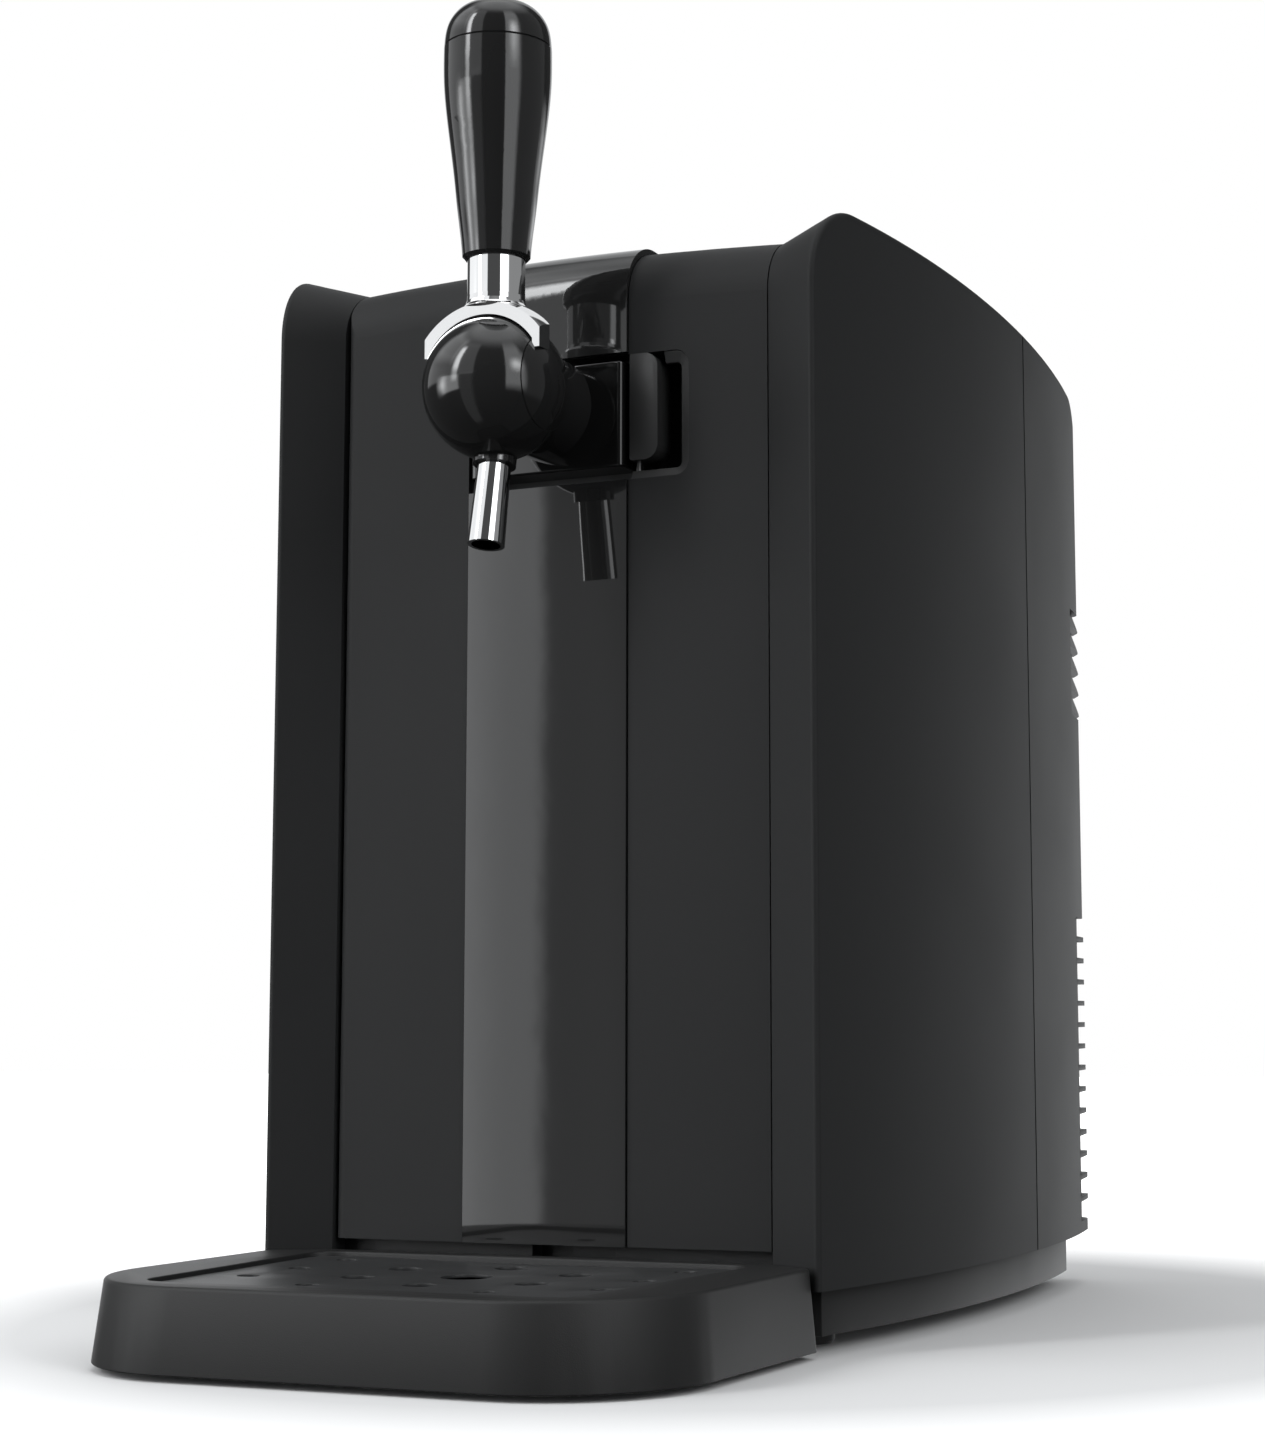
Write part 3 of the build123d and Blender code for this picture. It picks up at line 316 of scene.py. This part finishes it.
def recess_lining():
    """Shallow sloped surround of the finger recess; it stays clear of the record's finger opening."""
    openings = frame["record"]["physics"]["openings"]
    low, high = next(item for item in openings if item["name"] == "finger_recess")["box_m"]
    near = [v.co for v in NODES["door_panel_right"].data.vertices
            if high[0] < v.co.x < high[0] + WALL_SEARCH and low[2] < v.co.z < high[2]]
    front = min(co.y for co in near)
    wall = max(co.x for co in near if co.y < front + FACE_DEPTH)
    left, top_end = low[0] - REACH_LEFT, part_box("latch_paddle")[1].x + PADDLE_GAP
    bottom, top = low[2] - REACH_BELOW, high[2] + REACH_ABOVE
    outer = corner_path(left, wall - WALL_GAP_FRONT, bottom, top, top_end, OUTER_RADIUS)
    inner = corner_path(left, high[0] + OPENING_GAP, low[2] - OPENING_GAP, high[2] + OPENING_GAP, top_end,
                        INNER_RADIUS)
    rear = corner_path(left, wall - WALL_GAP_BACK, bottom, top, top_end, OUTER_RADIUS)
    rings = [[(o[0], front + LIP, o[1]), (i[0], front + SLOPE_FOOT, i[1]),
              (i[0], front + BACK, i[1]), (r[0], front + BACK, r[1])]
             for o, i, r in zip(outer, inner, rear)]
    # the lining wears the inner shell's lighter base, painted light for the shaded recess
    lining = add_mesh("recess_lining", *skin(rings), FINISHES["door_inner_shell"])
    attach(lining, "door")
    shade_smooth(lining)
    round_edges(lining, LINING_EDGE)


recess_lining()


# ---- studio

LIGHT_COLOUR = (0.97, 0.985, 1.0, 1)    # a slightly cool white
WHITE = (1, 1, 1, 1)
FILL = 0.07                             # even light from every direction


class Sky(Nodes):
    """Light from all round, laid out as soft boxes in bearing and height (degrees)."""

    def __init__(self):
        scene.world = bpy.data.worlds.new("studio")
        self.start(scene.world, "ShaderNodeOutputWorld")
        direction = self.add("ShaderNodeTexCoord").outputs["Generated"]
        x, y, z = self.add("ShaderNodeSeparateXYZ", {"Vector": direction}).outputs
        self.front = self.degrees("ARCTAN2", x, self.math("MULTIPLY", y, -1.0))
        self.rear = self.degrees("ARCTAN2", self.math("MULTIPLY", x, -1.0), y)
        self.height = self.degrees("ARCSINE", z)
        self.total = None

    def math(self, operation, a, b=0.0):
        node = self.add("ShaderNodeMath", operation=operation)
        self.put(node.inputs[0], a)
        self.put(node.inputs[1], b)
        return node.outputs[0]

    def degrees(self, operation, *values):
        return self.math("MULTIPLY", self.math(operation, *values), 180 / math.pi)

    def ramp(self, value, centre, soft, rising):
        """A smooth step of the given width, from 0 to 1 or back."""
        low, high = (0.0, 1.0) if rising else (1.0, 0.0)
        node = self.add("ShaderNodeMapRange", {"Value": value, "From Min": centre - soft / 2,
                                                "From Max": centre + soft / 2, "To Min": low, "To Max": high},
                        interpolation_type="SMOOTHSTEP")
        return node.outputs["Result"]

    def box(self, bearing, height, strength, soft, rear=False):
        """One soft box; soft is the width of its left, right, lower and upper edge."""
        across = self.rear if rear else self.front
        mask = self.math("MULTIPLY", self.ramp(across, bearing[0], soft[0], True),
                         self.ramp(across, bearing[1], soft[1], False))
        tall = self.math("MULTIPLY", self.ramp(self.height, height[0], soft[2], True),
                         self.ramp(self.height, height[1], soft[3], False))
        light = self.math("MULTIPLY", self.math("MULTIPLY", mask, tall), strength)
        self.total = light if self.total is None else self.math("ADD", self.total, light)

    def finish(self):
        """White to the camera; the boxes and the fill to everything else."""
        light = self.add("ShaderNodeBackground", {"Strength": self.math("ADD", self.total, FILL)})
        light.inputs["Color"].default_value = LIGHT_COLOUR
        shown = self.add("ShaderNodeBackground", {"Strength": 1.0})
        shown.inputs["Color"].default_value = WHITE
        path = self.add("ShaderNodeLightPath")
        mix = self.add("ShaderNodeMixShader")
        self.put(mix.inputs[0], path.outputs["Is Camera Ray"])
        self.put(mix.inputs[1], light.outputs[0])
        self.put(mix.inputs[2], shown.outputs[0])
        self.put(self.out.inputs["Surface"], mix.outputs[0])


def sky():
    """Bearing 0 is straight in front, positive to the right, and the camera stands at about 30.

    A rear box counts its bearing from straight behind, positive to the left. Height 0 is level.
    """
    lights = Sky()
    # left of the camera: what the gloss strip and the door panels mirror
    lights.box((-62, -29.1), (-7, 12.4), 1.4, (10, 0.5, 3, 2))
    lights.box((-62, -31.0), (-7, 12.4), 1.3, (10, 2.4, 3, 2))
    lights.box((-62, -27.8), (-7, 12.4), 0.5, (10, 4.0, 3, 2))
    lights.box((-68, -56), (-2, 8), 9.0, (18, 16, 18, 16))
    # tall key light, brighter towards its top, with its wide dim surround
    lights.box((-42, -33), (6, 50), 5.0, (8, 2.4, 8, 8))
    lights.box((-42, -32), (20, 50), 7.0, (8, 3, 10, 8))
    lights.box((-100, -52), (8, 30), 1.0, (3, 8, 3, 22))
    lights.box((-52, -5), (12.4, 58), 0.9, (6, 3, 2, 10))
    lights.box((-96, -44), (30, 60), 1.6, (16, 16, 14, 10))
    # right of the camera
    lights.box((46, 78), (-8, 58), 2.4, (3, 12, 16, 20))
    lights.box((57, 71), (21, 33), 9.0, (16, 18, 16, 16))
    lights.box((78, 146), (-15, 60), 0.20, (4, 4, 10, 10))
    # dim and low, between the key light and the camera
    lights.box((-28, -6), (-60, 14), 0.30, (2, 8, 10, 3))
    # overhead, and the pale room behind the object
    lights.box((-180, 180), (62, 91), 1.6, (1, 1, 26, 0.1))
    lights.box((-22, 60), (-25, 13), 2.0, (36, 10, 10, 3), rear=True)
    lights.box((0, 50), (14, 60), 0.8, (5, 10, 3, 10), rear=True)
    lights.finish()


FLOOR_HALF = 4                          # half of the sheet's side
SHADE_CENTRE = (0.02, 0.03, 0)          # middle of the painted shade patch, inside which the paper has no painted glow
FADE_START, FADE_END = 0.27, 0.47       # distances from there: plain grey paper within, a painted glow rising to white beyond
PAPER_DARK, PAPER_LIGHT = 0.72, 0.74


def floor():
    """Grey paper that keeps the object's shadow near by, with a painted glow that grows with distance from a
    fixed point and paints it white further off, so a painted shade patch stays round the object.

    Diffuse, glossy and shadow rays pass it by, so it throws no light or shade on the object.
    """
    n = Nodes("floor_paper")
    tone = n.noise(3, 2, 0.5)
    paper = n.add("ShaderNodeBsdfDiffuse", {"Color": n.mix(tone, grey(PAPER_DARK), grey(PAPER_LIGHT))})
    centre = n.add("ShaderNodeVectorMath", {0: n.coords(), 1: SHADE_CENTRE}, operation="SUBTRACT")
    far = n.add("ShaderNodeVectorMath", {0: centre.outputs["Vector"]}, operation="LENGTH").outputs["Value"]
    # painted glow: emission, not a lamp, rising with distance from SHADE_CENTRE; it whitens the paper far off
    # and leaves painted shade near the object
    painted_glow = n.add("ShaderNodeEmission", {"Strength": n.spread(far, 0.0, 1.0, FADE_START, FADE_END)})
    both = n.add("ShaderNodeAddShader")
    n.put(both.inputs[0], paper.outputs[0])
    n.put(both.inputs[1], painted_glow.outputs[0])
    n.put(n.out.inputs["Surface"], both.outputs[0])
    corners = [(x * FLOOR_HALF, y * FLOOR_HALF, 0) for x, y in ((-1, -1), (1, -1), (1, 1), (-1, 1))]
    sheet = add_mesh("floor", corners, [(0, 1, 2, 3)], n.material)
    sheet.visible_diffuse = False
    sheet.visible_glossy = False
    sheet.visible_shadow = False


sky()
floor()
